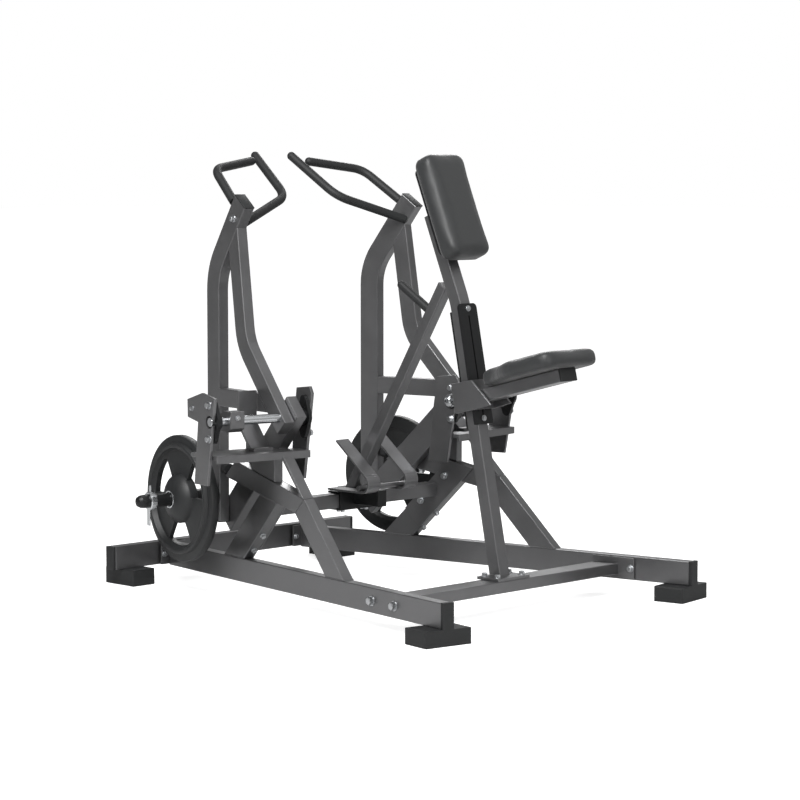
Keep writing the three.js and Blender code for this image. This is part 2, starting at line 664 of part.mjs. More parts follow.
// Weight plate: thick rim, recessed web with three hand openings, domed hub.
const HAND_OPENING = { inner: 88, outer: 168, half: THREE.MathUtils.degToRad(27) };
const OPENING_ANGLES = [30, 150, 270].map((deg) => THREE.MathUtils.degToRad(deg));
function weightPlate() {
  const bore = HORN_RADIUS + 1;
  const inside = PLATE_INNER_O;
  const outside = inside + PLATE_THICKNESS;
  const profile = [
    [inside + 4, bore], [inside, bore + 6], [inside, 84], [inside + 11, 92], [inside + 11, 164],
    [inside, 182], [inside, 221], [inside + 6, PLATE_RADIUS], [outside - 18, PLATE_RADIUS],
    [outside - 13, 222], [outside - 13, 201], [outside, 197], [outside, 181], [outside - 18, 173],
    [outside - 18, 92], [outside - 6, 84], [outside + 14, 62], [outside + 26, bore + 6],
    [outside + 26, bore], [inside + 4, bore],
  ];
  const blank = turnedX(profile, HORN, 44);
  const openings = OPENING_ANGLES.map((middle) => {
    const { inner, outer, half } = HAND_OPENING;
    const shape = new THREE.Shape();
    shape.absarc(0, 0, outer, middle - half, middle + half);
    shape.absarc(0, 0, inner, middle + half * 0.9, middle - half * 0.9, true);
    return slab(shape, 120, inside + 20, 0).translate(0, HORN[0], HORN[1]);
  });
  return cut(blank, ...openings);
}

// Spring collar: a ring round the horn with a flat release lever.
function collar() {
  const inside = HORN_RADIUS + 0.6;
  const profile = [[270, inside], [270, 30], [273, 33], [292, 33], [295, 30], [295, inside], [270, inside]];
  const ring = turnedX(profile, HORN, 36);
  const [a, z] = HORN;
  const handle = box(288, 294, a - 9, a + 9, z - 88, z - 28, 2);
  const knob = box(281, 287, a - 6, a + 6, z + 28, z + 56, 2);
  return join(ring, handle, knob);
}

// Grips: (outwards, along the rail, height). One runs back then in, the other in then back.
const gripBack = [[0, 1266, 1392], [-12, 1441, 1519], [-226, 1534, 1549]];
const gripIn = [[-20 - GAP, 1240, 1331], [-271, 1373, 1421], [-273, 1581, 1569]];
const throughPoints = (list) => list.map((values) => new THREE.Vector3(...values));

function backGrip() {
  return cut(rod(throughPoints(gripBack), GRIP_RADIUS, 46), rearTubeCutter());
}

function inGrip() {
  const line = throughPoints(gripIn);
  const face = box(-ARM_WIDTH / 2 - GAP, 60, 1100, 1400, 1200, 1500, 0);
  line[0].x += 14;
  return cut(rod(line, GRIP_RADIUS, 56), face);
}

// ---- place both sides ----------------------------------------------------
const innerBearingFace = BEARING_PLATE_O[0] + BEARING_PLATE_THICKNESS;
const sidePieces = [
  ["rail", rail(), steel],
  ["front_boot", frontBoot(), rubber],
  ["front_strut", slab(strutOutline, TUBE_WIDTH), steel],
  ["brace", cut(slab(braceOutline, TUBE_WIDTH), grown(strutOutline)), steel],
  ["platform", platform(), steel],
  ["rear_post", rearPost(), steel],
  ["bearing_plate_outer", bearingPlate(outerPlateOutline, BEARING_PLATE_O[1]), steel],
  ["bearing_plate_inner", bearingPlate(innerPlateOutline, BEARING_PLATE_O[0]), steel],
  ["flange_bearing_outer", flangeBearing(BEARING_PLATE_O[1], -1), castIron],
  ["flange_bearing_inner", flangeBearing(innerBearingFace, 1), castIron],
  ["pivot_shaft", shaft(), chrome],
  ["arm_front_tube", frontTube(), steel],
  ["arm_rear_tube", rearTube(), steel],
  ["arm_lever", lever(), steel],
  ["arm_cross_tube", crossTube(), steel],
  ["back_grip", backGrip(), rubber],
  ["in_grip", inGrip(), rubber],
  ["weight_horn", horn(), castIron],
  ["weight_plate", weightPlate(), plateCoat],
  ["horn_collar", collar(), chrome],
];
for (const side of [-1, 1]) {
  const label = side < 0 ? "left" : "right";
  const unit = new THREE.Group();
  unit.position.set(side * RAIL_FRONT_X, RAIL_FRONT_Y, 0);
  unit.rotation.z = side * SPLAY;
  for (const [name, geometry, material] of sidePieces) {
    piece(unit, `${name}_${label}`, side < 0 ? mirrored(geometry) : geometry, material);
  }
  machine.add(unit);
  const foot = rearFoot().translate(side * REAR_FOOT_X, 0, 0);
  piece(machine, `rear_foot_${label}`, foot, rubber);
}

export default machine;
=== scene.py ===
"""A plate-loaded, chest-supported T bar row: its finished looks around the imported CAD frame.

Metres, +Z up. +Y is the way the user faces. The side pieces are mirrored in X = 0.
"""

import json
import math

import bmesh
import bpy
from mathutils import Matrix, Vector
from mathutils.bvhtree import BVHTree


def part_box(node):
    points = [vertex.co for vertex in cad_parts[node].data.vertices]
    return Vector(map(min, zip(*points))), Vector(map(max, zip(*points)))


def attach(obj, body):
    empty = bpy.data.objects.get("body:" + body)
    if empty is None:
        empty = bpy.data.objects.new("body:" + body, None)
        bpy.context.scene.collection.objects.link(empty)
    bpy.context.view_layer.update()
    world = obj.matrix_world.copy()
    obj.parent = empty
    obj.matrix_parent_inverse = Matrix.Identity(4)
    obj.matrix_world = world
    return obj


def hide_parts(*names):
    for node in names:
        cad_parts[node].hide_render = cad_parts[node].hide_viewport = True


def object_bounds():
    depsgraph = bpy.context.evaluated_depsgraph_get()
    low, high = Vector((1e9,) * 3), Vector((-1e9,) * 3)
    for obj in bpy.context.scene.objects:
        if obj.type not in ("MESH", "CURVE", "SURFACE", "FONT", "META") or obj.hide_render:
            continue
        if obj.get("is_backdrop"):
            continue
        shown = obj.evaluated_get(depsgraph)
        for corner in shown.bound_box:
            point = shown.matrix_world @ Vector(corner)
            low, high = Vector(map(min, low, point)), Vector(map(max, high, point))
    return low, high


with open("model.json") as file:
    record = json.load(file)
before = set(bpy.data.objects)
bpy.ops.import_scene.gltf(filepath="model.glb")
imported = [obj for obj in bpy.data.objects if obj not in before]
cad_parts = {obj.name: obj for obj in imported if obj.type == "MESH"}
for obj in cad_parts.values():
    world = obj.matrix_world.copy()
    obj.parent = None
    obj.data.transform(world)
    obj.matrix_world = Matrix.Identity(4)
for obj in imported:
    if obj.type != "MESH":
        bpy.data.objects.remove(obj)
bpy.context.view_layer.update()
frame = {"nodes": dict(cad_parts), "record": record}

# ---- Powder coated frame ---------------------------------------------------
# The rails, posts, braces, arms and brackets: mild steel tube and plate, welded and
# bolted, under a satin grey powder coat. The CAD solids are shown as they are.
MM = 0.001
MACHINE_SHIFT = -51.4  # mm along Y from the drawing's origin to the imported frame's


def linear(hex_colour):
    """Linear RGBA of an sRGB hex colour."""
    parts = [int(hex_colour[i : i + 2], 16) / 255 for i in (0, 2, 4)]
    return [c / 12.92 if c <= 0.04045 else ((c + 0.055) / 1.055) ** 2.4 for c in parts] + [1]


def add_node(tree, kind, settings=None, **links):
    """Adds one node; links are input names to values or to output sockets of other nodes."""
    node = tree.nodes.new(kind)
    for name, value in (settings or {}).items():
        setattr(node, name, value)
    for name, value in links.items():
        numbered = name[1:].isdigit()
        socket = node.inputs[int(name[1:]) if numbered else name.replace("_", " ")]
        if isinstance(value, bpy.types.NodeSocket):
            tree.links.new(value, socket)
        else:
            socket.default_value = value
    return node


def new_material(name):
    """An empty node material, with its tree, object coordinates and Principled shader."""
    material = bpy.data.materials.new(name)
    material.use_nodes = True
    tree = material.node_tree
    shader = tree.nodes["Principled BSDF"]
    place = tree.nodes.new("ShaderNodeTexCoord").outputs["Object"]
    return material, tree, shader, place


def satin_powder_coat():
    # Fine orange peel about 1.5 mm across breaks up the highlights, and broad soft
    # patches of slightly different gloss keep the long tubes from looking like plastic.
    material, tree, shader, place = new_material("satin grey powder coat")
    peel = add_node(tree, "ShaderNodeTexNoise", Vector=place, Scale=650.0, Detail=3.0)
    patches = add_node(tree, "ShaderNodeTexNoise", Vector=place, Scale=7.0, Detail=5.0)
    dark, light = linear("666667"), linear("787879")
    tint = add_node(
        tree, "ShaderNodeMix", {"data_type": "RGBA"}, _0=patches.outputs["Fac"], _6=dark, _7=light
    )
    gloss = add_node(
        tree, "ShaderNodeMapRange", Value=patches.outputs["Fac"],
        From_Min=0.3, From_Max=0.7, To_Min=0.3, To_Max=0.4,
    )
    bump = add_node(
        tree, "ShaderNodeBump", Strength=0.12, Distance=0.0004, Height=peel.outputs["Fac"]
    )
    tree.links.new(tint.outputs[2], shader.inputs["Base Color"])
    tree.links.new(gloss.outputs["Result"], shader.inputs["Roughness"])
    tree.links.new(bump.outputs["Normal"], shader.inputs["Normal"])
    shader.inputs["Metallic"].default_value = 0.85
    return material


powder_coat = satin_powder_coat()


def finish_cad(node_name, material):
    """Gives a CAD node its material; its shape and shading stay as they come."""
    mesh = frame["nodes"][node_name].data
    mesh.materials.clear()
    mesh.materials.append(material)


slot_of = {part["node"]: part["material_slot"] for part in frame["record"]["subparts"]}
for node_name in [n for n, slot in slot_of.items() if slot == "frame_paint"]:
    finish_cad(node_name, powder_coat)

# ---- Black fittings --------------------------------------------------------
# Every node in the black_iron slot: cast or cut iron under a satin black paint.


def black_paint():
    # Thin satin black paint over a sand-cast surface: bumps about 3 mm across.
    material, tree, shader, place = new_material("black paint on cast iron")
    cast = add_node(tree, "ShaderNodeTexNoise", Vector=place, Scale=330.0, Detail=4.0)
    gloss = add_node(
        tree, "ShaderNodeMapRange", Value=cast.outputs["Fac"], To_Min=0.32, To_Max=0.5
    )
    bump = add_node(
        tree, "ShaderNodeBump", Strength=0.2, Distance=0.0005, Height=cast.outputs["Fac"]
    )
    tree.links.new(gloss.outputs["Result"], shader.inputs["Roughness"])
    tree.links.new(bump.outputs["Normal"], shader.inputs["Normal"])
    shader.inputs["Base Color"].default_value = linear("111213")
    shader.inputs["Metallic"].default_value = 0.3
    return material


iron_paint = black_paint()
for node_name in [n for n, slot in slot_of.items() if slot == "black_iron"]:
    finish_cad(node_name, iron_paint)

# ---- Rubber feet and boots -------------------------------------------------
# Moulded rubber blocks under the rear crossbar and boots over the rails' front ends,
# pushed on and held by the weight of the machine.


def moulded_rubber():
    # Matt black rubber with a fine moulded grain of about 1 mm and dusty patches.
    material, tree, shader, place = new_material("moulded black rubber")
    grain = add_node(tree, "ShaderNodeTexNoise", Vector=place, Scale=1000.0, Detail=2.0)
    dust = add_node(tree, "ShaderNodeTexNoise", Vector=place, Scale=14.0, Detail=6.0)
    tint = add_node(
        tree, "ShaderNodeMix", {"data_type": "RGBA"},
        _0=dust.outputs["Fac"], _6=linear("0b0c0d"), _7=linear("141617"),
    )
    bump = add_node(
        tree, "ShaderNodeBump", Strength=0.35, Distance=0.0003, Height=grain.outputs["Fac"]
    )
    tree.links.new(tint.outputs[2], shader.inputs["Base Color"])
    tree.links.new(bump.outputs["Normal"], shader.inputs["Normal"])
    shader.inputs["Roughness"].default_value = 0.62
    return material


rubber = moulded_rubber()
for node_name in [n for n, slot in slot_of.items() if slot == "rubber"]:
    finish_cad(node_name, rubber)

# ---- Chrome shafts and collars ---------------------------------------------
# The horn collars and the seat's pull pin, chrome plated. The pivot shafts get their
# finished shape further down.


def chrome_plate(name="chrome plate", tone="c4c6c8", rough=0.12):
    # Bright plate; small specks of duller polish widen the highlights.
    material, tree, shader, place = new_material(name)
    marks = add_node(tree, "ShaderNodeTexNoise", Vector=place, Scale=420.0, Detail=4.0)
    gloss = add_node(
        tree, "ShaderNodeMapRange", Value=marks.outputs["Fac"], To_Min=rough, To_Max=rough + 0.12
    )
    tree.links.new(gloss.outputs["Result"], shader.inputs["Roughness"])
    shader.inputs["Base Color"].default_value = linear(tone)
    shader.inputs["Metallic"].default_value = 1.0
    return material


chrome = chrome_plate()
for node_name in [n for n, slot in slot_of.items() if slot == "chrome"]:
    finish_cad(node_name, chrome)

# ---- Weight plates ---------------------------------------------------------
# Rubber coated iron discs with a thick rim, three hand openings between the spokes
# and a domed hub. One hangs on each horn.
SIDE_TURN = math.radians(9.9)
SIDE_ORIGIN = Vector((0.632, -0.855, 0))
HORN = (1406 * MM, 346 * MM)
PLATE_INSIDE = 136 * MM
PLATE_PROFILE = [  # out from the inner face, radius; mm
    (4, 25.2), (0, 31), (0, 82), (3, 87), (11, 93), (11, 163), (3, 178), (0, 182), (0, 221),
    (2, 225.5), (6, 227.5), (26, 227.5), (30, 226), (32, 222), (32, 205), (33, 202), (36, 200),
    (42, 198.5), (44.4, 196.5), (45, 193), (45, 186), (44, 182.5), (40, 180), (30, 175),
    (27, 172), (27, 94), (29, 90), (36, 86.5), (43, 82), (52, 72), (60, 60), (66, 47), (69.5, 36),
    (71, 31), (71, 25.2),
]


def side_matrix(side):
    """From one side's own axes (outwards, rearwards along the rail, up) to the machine's."""
    origin = Vector((side * SIDE_ORIGIN.x, SIDE_ORIGIN.y + MACHINE_SHIFT * MM, 0))
    turn = Matrix.Rotation(side * SIDE_TURN, 4, "Z")
    return Matrix.Translation(origin) @ turn @ Matrix.Diagonal((side, 1, 1, 1))


def new_object(name, mesh, material, smooth_angle=35):
    """Puts a mesh in the scene with a material, shaded smooth between its sharp edges."""
    mesh.materials.clear()
    mesh.materials.append(material)
    mesh.polygons.foreach_set("use_smooth", [True] * len(mesh.polygons))
    mesh.set_sharp_from_angle(angle=math.radians(smooth_angle))
    thing = bpy.data.objects.new(name, mesh)
    bpy.context.scene.collection.objects.link(thing)
    return thing


def to_mesh(name, builder):
    builder.normal_update()
    bmesh.ops.recalc_face_normals(builder, faces=builder.faces)
    mesh = bpy.data.meshes.new(name)
    builder.to_mesh(mesh)
    builder.free()
    return mesh


def place_mesh(mesh, matrix):
    mesh.transform(matrix)
    if matrix.determinant() < 0:
        mesh.flip_normals()
    return mesh


def turned(name, profile, sides=96, closed=False):
    """A lathe-turned piece about X: profile is (along, radius) pairs in metres."""
    builder = bmesh.new()
    ring = [builder.verts.new((x, r, 0)) for x, r in profile]
    pairs = list(zip(ring, ring[1:])) + ([(ring[-1], ring[0])] if closed else [])
    edges = [builder.edges.new(pair) for pair in pairs]
    bmesh.ops.spin(
        builder, geom=ring + edges, cent=(0, 0, 0), axis=(1, 0, 0),
        angle=2 * math.pi, steps=sides, use_merge=True,
    )
    bmesh.ops.remove_doubles(builder, verts=builder.verts, dist=1e-6)
    return to_mesh(name, builder)


def prism(name, outline, depth, x=0.0):
    """A plate cut to a (y, z) outline in metres, from x outwards by depth."""
    builder = bmesh.new()
    low = [builder.verts.new((x, y, z)) for y, z in outline]
    face = builder.faces.new(low)
    made = bmesh.ops.extrude_face_region(builder, geom=[face])["geom"]
    for vert in (v for v in made if isinstance(v, bmesh.types.BMVert)):
        vert.co.x += depth
    return to_mesh(name, builder)


def settled(thing):
    """Applies every modifier to the mesh."""
    graph = bpy.context.evaluated_depsgraph_get()
    mesh = bpy.data.meshes.new_from_object(thing.evaluated_get(graph))
    thing.modifiers.clear()
    thing.data = mesh
    return thing


def plate_coating():
    # Matt rubber skin with a pebble grain about 2 mm across and slightly paler scuffs.
    material, tree, shader, place = new_material("rubber plate coating")
    pebble = add_node(tree, "ShaderNodeTexVoronoi", Vector=place, Scale=520.0)
    scuffs = add_node(tree, "ShaderNodeTexNoise", Vector=place, Scale=26.0, Detail=8.0)
    tint = add_node(
        tree, "ShaderNodeMix", {"data_type": "RGBA"},
        _0=scuffs.outputs["Fac"], _6=linear("0e0f10"), _7=linear("191b1c"),
    )
    gloss = add_node(
        tree, "ShaderNodeMapRange", Value=scuffs.outputs["Fac"], To_Min=0.42, To_Max=0.62
    )
    bump = add_node(
        tree, "ShaderNodeBump", Strength=0.25, Distance=0.0004, Height=pebble.outputs["Distance"]
    )
    tree.links.new(tint.outputs[2], shader.inputs["Base Color"])
    tree.links.new(gloss.outputs["Result"], shader.inputs["Roughness"])
    tree.links.new(bump.outputs["Normal"], shader.inputs["Normal"])
    return material


coating = plate_coating()


OPENING_INNER, OPENING_OUTER = 88 * MM, 168 * MM
OPENING_HALF, OPENING_TAPER = math.radians(27), math.radians(4)
OPENING_MIDDLES = (30, 150, 270)  # degrees round the disc
CUTTER_START, CUTTER_DEPTH = -60 * MM, 200 * MM


def arc(radius, start, end, steps=16):
    """Points round a circle from one angle to another."""
    angles = [start + (end - start) * i / steps for i in range(steps + 1)]
    return [(radius * math.cos(a), radius * math.sin(a)) for a in angles]


def hand_opening(middle):
    """A curved slot between two spokes, as a cutter through the disc."""
    near = OPENING_HALF - OPENING_TAPER
    outline = arc(OPENING_OUTER, middle - OPENING_HALF, middle + OPENING_HALF)
    outline += arc(OPENING_INNER, middle + near, middle - near)
    return prism("hand_opening", outline, CUTTER_DEPTH, CUTTER_START)


def weight_plate(side, label):
    profile = [((x * MM) + PLATE_INSIDE, r * MM) for x, r in PLATE_PROFILE]
    disc = new_object("disc", turned("plate", profile, 128, closed=True), coating)
    for degrees in OPENING_MIDDLES:
        cutter = new_object("cutter", hand_opening(math.radians(degrees)), coating)
        cutter.location = (PLATE_INSIDE, 0, 0)
        cut = disc.modifiers.new("opening", "BOOLEAN")
        cut.object, cut.operation, cut.solver = cutter, "DIFFERENCE", "EXACT"
        bpy.context.view_layer.update()
        settled(disc)
        bpy.data.objects.remove(cutter)
    edges = disc.modifiers.new("rounded edges", "BEVEL")
    edges.width, edges.segments, edges.angle_limit = 2.2 * MM, 3, math.radians(50)
    settled(disc)
    matrix = side_matrix(side) @ Matrix.Translation((0, *HORN))
    plate = new_object(f"plate_disc_{label}", place_mesh(disc.data.copy(), matrix), coating)
    bpy.data.objects.remove(disc)
    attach(plate, f"plate_{label}")
    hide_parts(f"weight_plate_{label}")


for side, label in ((-1, "left"), (1, "right")):
    weight_plate(side, label)

# ---- Grips -----------------------------------------------------------------
# Two bent handles on each arm, shown as black rubber sleeves 32 mm across with domed
# ends. One goes back then in, the other in then back.
GRIP_RADIUS = 16 * MM
BACK_GRIP = [(6, 1282, 1404), (-12, 1441, 1519), (-226, 1534, 1549)]
IN_GRIP = [(-18, 1242, 1333), (-271, 1373, 1421), (-273, 1581, 1569)]
BACK_GRIP_BEND, IN_GRIP_BEND = 46 * MM, 56 * MM
SLEEVE_STEP, BEND_STEPS, TIP_STEPS, TIP_END = 6 * MM, 14, 8, 0.4 * MM


def rounded_path(corners, bend, step):
    """Points about a step apart along straight runs joined by smooth bends."""
    points = [Vector(c) * MM for c in corners]
    runs, here = [], points[0]
    for before, corner, after in zip(points, points[1:], points[2:]):
        start = corner + (before - corner).normalized() * bend
        end = corner + (after - corner).normalized() * bend
        count = max(2, round((start - here).length / step))
        runs += [here.lerp(start, i / count) for i in range(count)]
        for i in range(BEND_STEPS):
            t = i / BEND_STEPS
            runs.append(start.lerp(corner, t).lerp(corner.lerp(end, t), t))
        here = end
    count = max(2, round((points[-1] - here).length / step))
    return runs + [here.lerp(points[-1], i / count) for i in range(count + 1)]


def swept(name, points, radii, sides=28):
    """A round bar of changing radius along points."""
    builder = bmesh.new()
    ways = [(b - a).normalized() for a, b in zip(points, points[1:])]
    ways = [ways[0]] + [(a + b).normalized() for a, b in zip(ways, ways[1:])] + [ways[-1]]
    across = ways[0].orthogonal().normalized()
    rings = []
    for point, way, radius in zip(points, ways, radii):
        across = (across - way * across.dot(way)).normalized()
        up = way.cross(across)
        ring = []
        for i in range(sides):
            a = 2 * math.pi * i / sides
            out = across * math.cos(a) + up * math.sin(a)
            ring.append(builder.verts.new(point + out * radius))
        rings.append(ring)
    for one, two in zip(rings, rings[1:]):
        for i in range(sides):
            k = (i + 1) % sides
            builder.faces.new((one[i], one[k], two[k], two[i]))
    builder.faces.new(rings[0])
    builder.faces.new(rings[-1])
    return to_mesh(name, builder)


def sleeve(name, corners, bend):
    """A rubber sleeve of one thickness, with a domed tip."""
    points = rounded_path(corners, bend, SLEEVE_STEP)
    radii = [GRIP_RADIUS] * len(points)
    way = (points[-1] - points[-2]).normalized()
    for i in range(1, TIP_STEPS + 1):
        a = math.pi / 2 * i / TIP_STEPS
        points.append(Vector(corners[-1]) * MM + way * GRIP_RADIUS * math.sin(a))
        radii.append(max(GRIP_RADIUS * math.cos(a), TIP_END))
    return swept(name, points, radii)


for side, label in ((-1, "left"), (1, "right")):
    for kind, corners, bend in (
        ("back_grip", BACK_GRIP, BACK_GRIP_BEND), ("in_grip", IN_GRIP, IN_GRIP_BEND),
    ):
        mesh = place_mesh(sleeve(kind, corners, bend), side_matrix(side))
        grip = new_object(f"{kind}_sleeve_{label}", mesh, rubber, 60)
        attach(grip, f"arm_{label}")
        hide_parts(f"{kind}_{label}")

# ---- Chest pad and seat ----------------------------------------------------
# Foam cushions covered in charcoal grained vinyl pulled tight over the edges. Their
# covers are swollen by a short cloth simulation.


def grained_vinyl():
    # Leather-look grain of cells about 1.6 mm across, deeper between the cells, with
    # slow changes of tone, and a soft sheen where the cover turns over an edge.
    material, tree, shader, place = new_material("charcoal grained vinyl")
    cells = add_node(tree, "ShaderNodeTexVoronoi", Vector=place, Scale=600.0)
    folds = add_node(tree, "ShaderNodeTexNoise", Vector=place, Scale=90.0, Detail=6.0)
    tone = add_node(tree, "ShaderNodeTexNoise", Vector=place, Scale=6.0, Detail=3.0)
    tint = add_node(
        tree, "ShaderNodeMix", {"data_type": "RGBA"},
        _0=tone.outputs["Fac"], _6=linear("161718"), _7=linear("1e2021"),
    )
    height = add_node(
        tree, "ShaderNodeMath", {"operation": "MULTIPLY_ADD"},
        _0=folds.outputs["Fac"], _1=0.5, _2=cells.outputs["Distance"],
    )
    bump = add_node(
        tree, "ShaderNodeBump", Strength=0.3, Distance=0.0005, Height=height.outputs["Value"]
    )
    tree.links.new(tint.outputs[2], shader.inputs["Base Color"])
    tree.links.new(bump.outputs["Normal"], shader.inputs["Normal"])
    shader.inputs["Roughness"].default_value = 0.5
    shader.inputs["Sheen Weight"].default_value = 0.15
    return material


vinyl = grained_vinyl()
CUSHION_SHRINK = 0.985
COVER_VOXEL, BOARD_DEPTH, SWELL_LIMIT = 5 * MM, 7 * MM, 4 * MM
COVER_PRESSURE, CLOTH_FRAMES = 4, 20
STRETCH_STIFFNESS, SHEAR_STIFFNESS, BEND_STIFFNESS = 60, 40, 12
SOFTENING, SOFTEN_PASSES = 0.6, 26


def stuffed(name, node_name, board_way):
    """The CAD cushion, shrunk a little, swollen by cloth pressure and kept flat on its board."""
    low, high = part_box(node_name)
    centre = (low + high) / 2
    mesh = frame["nodes"][node_name].data.copy()
    mesh.transform(
        Matrix.Translation(centre) @ Matrix.Scale(CUSHION_SHRINK, 4) @ Matrix.Translation(-centre)
    )
    cushion = new_object(name, mesh, vinyl, 180)
    remesh = cushion.modifiers.new("even mesh", "REMESH")
    remesh.mode, remesh.voxel_size = "VOXEL", COVER_VOXEL
    settled(cushion)
    rest = [v.co.copy() for v in cushion.data.vertices]
    reach = [c.dot(board_way) for c in rest]
    board = cushion.vertex_groups.new(name="on the board")
    held = max(reach) - BOARD_DEPTH
    board.add([i for i, d in enumerate(reach) if d > held], 1.0, "REPLACE")
    cloth = cushion.modifiers.new("cover", "CLOTH")
    cloth.settings.use_pressure = True
    cloth.settings.uniform_pressure_force = COVER_PRESSURE
    cloth.settings.effector_weights.gravity = 0
    cloth.settings.vertex_group_mass = board.name
    cloth.settings.tension_stiffness = STRETCH_STIFFNESS
    cloth.settings.compression_stiffness = STRETCH_STIFFNESS
    cloth.settings.shear_stiffness = SHEAR_STIFFNESS
    cloth.settings.bending_stiffness = BEND_STIFFNESS
    cloth.point_cache.frame_start, cloth.point_cache.frame_end = 1, CLOTH_FRAMES
    for number in range(1, CLOTH_FRAMES + 1):
        bpy.context.scene.frame_set(number)
    settled(cushion)
    for vertex, start in zip(cushion.data.vertices, rest):
        moved = vertex.co - start
        if moved.length > SWELL_LIMIT:
            vertex.co = start + moved.normalized() * SWELL_LIMIT
    smooth = cushion.modifiers.new("soft faces", "SMOOTH")
    smooth.factor, smooth.iterations = SOFTENING, SOFTEN_PASSES
    cushion.modifiers.new("fine mesh", "SUBSURF").levels = 1
    settled(cushion)
    cushion.data.materials.clear()
    cushion.data.materials.append(vinyl)
    cushion.data.polygons.foreach_set("use_smooth", [True] * len(cushion.data.polygons))
    return cushion


PAD_LEAN = math.radians(22.8)
SEAT_RISE = math.radians(14)
chest_cushion = stuffed(
    "chest_cushion", "chest_pad", Vector((0, math.cos(PAD_LEAN), -math.sin(PAD_LEAN)))
)
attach(chest_cushion, "frame")
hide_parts("chest_pad")
seat_cushion = stuffed(
    "seat_cushion", "seat_pad", Vector((0, -math.sin(SEAT_RISE), -math.cos(SEAT_RISE)))
)
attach(seat_cushion, "seat")
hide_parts("seat_pad")

# ---- Bolts and washers -----------------------------------------------------
# Zinc plated hex bolts with flat washers hold the cross members, post flanges,
# bearings, brackets and the column's foot.
zinc = chrome_plate("zinc plate", "b4b6b8", 0.24)


def hex_bolt(name, body, place, way, across=19 * MM, head_height=None):
    """A hex head with chamfered corners on a washer, pointing along way."""
    builder = bmesh.new()
    flat, head, washer = across / 2, head_height or across * 0.6, 2.4 * MM
    corner = flat / math.cos(math.pi / 6)
    rim = flat * 1.42
    disc = ((0, rim), (washer * 0.8, rim), (washer, rim * 0.97))
    hexagon = ((washer, corner), (washer + head * 0.82, corner), (washer + head, flat * 0.88))
    for levels, sides in ((disc, 32), (hexagon, 6)):
        rings = []
        for z, r in levels:
            angles = [2 * math.pi * i / sides for i in range(sides)]
            rings.append(
                [builder.verts.new((r * math.cos(a), r * math.sin(a), z)) for a in angles]
            )
        for one, two in zip(rings, rings[1:]):
            for i in range(sides):
                k = (i + 1) % sides
                builder.faces.new((one[i], one[k], two[k], two[i]))
        builder.faces.new(rings[0])
        builder.faces.new(rings[-1])
    mesh = to_mesh(name, builder)
    turn = Vector((0, 0, 1)).rotation_difference(Vector(way)).to_matrix().to_4x4()
    mesh.transform(Matrix.Translation(place) @ turn)
    bolt = new_object(name, mesh, zinc, 30)
    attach(bolt, body)


def side_place(side, o, a, z):
    return side_matrix(side) @ Vector((o * MM, a * MM, z * MM))


def side_way(side, o, a, z):
    return (side_matrix(side).to_3x3() @ Vector((o, a, z))).normalized()


BACK_DOWN = math.sqrt(0.5)
SIDE_BOLTS = [  # o, a, z of the face; the way the head points; across flats
    ("rail_bolt_front", (21, 281, 96), (1, 0, 0), 24),
    ("rail_bolt_back", (21, 410, 96), (1, 0, 0), 24),
    ("flange_bolt_low", (-29, 1161, 278), (-1, 0, 0), 19),
    ("flange_bolt_high", (-29, 1056, 378), (-1, 0, 0), 19),
    ("post_bolt_high", (0, 1111, 233), (0, -BACK_DOWN, -BACK_DOWN), 16),
    ("post_bolt_low", (0, 1170, 174), (0, -BACK_DOWN, -BACK_DOWN), 16),
    ("bearing_bolt_high", (300, 975, 718), (1, 0, 0), 19),
    ("bearing_bolt_low", (300, 975, 602), (1, 0, 0), 19),
    ("inner_bearing_bolt_high", (-106, 975, 718), (-1, 0, 0), 19),
    ("inner_bearing_bolt_low", (-106, 975, 602), (-1, 0, 0), 19),
    ("bracket_bolt", (300, 1085, 700), (1, 0, 0), 13),
]
for side, label in ((-1, "left"), (1, "right")):
    for name, place, way, across in SIDE_BOLTS:
        hex_bolt(
            f"{name}_{label}", "frame", side_place(side, *place), side_way(side, *way), across * MM
        )
    hex_bolt(
        f"head_bolt_{label}", f"arm_{label}", side_place(side, 21, 1262, 1345),
        side_way(side, 1, 0, 0), 19 * MM,
    )

BASE_Y, BASE_TOP = -527 + MACHINE_SHIFT, 123.3
for x in (-62, 62):
    for y in (BASE_Y - 8, BASE_Y + 52):
        place = Vector((x, y, BASE_TOP)) * MM
        hex_bolt(f"base_bolt_{x}_{y:.0f}", "frame", place, (0, 0, 1), 17 * MM)

# ---- End caps, bumpers and sleeves -----------------------------------------
# Push-in black caps close the open tube ends, a rubber bumper stands at the rear end
# of each brace in front of the arm's rear tube, a painted flange ends the front bar,
# and a chromed sleeve lines each plate's bore.


def rounded_block(name, body, size, matrix, material, edge=2.0):
    """A moulded block with rounded edges, centred on a matrix; size in mm."""
    builder = bmesh.new()
    bmesh.ops.create_cube(builder, size=1.0)
    bmesh.ops.scale(builder, verts=builder.verts, vec=[s * MM for s in size])
    bmesh.ops.bevel(
        builder, geom=builder.edges[:], offset=edge * MM, segments=3, affect="EDGES", profile=0.5
    )
    block = new_object(name, place_mesh(to_mesh(name, builder), matrix), material, 60)
    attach(block, body)


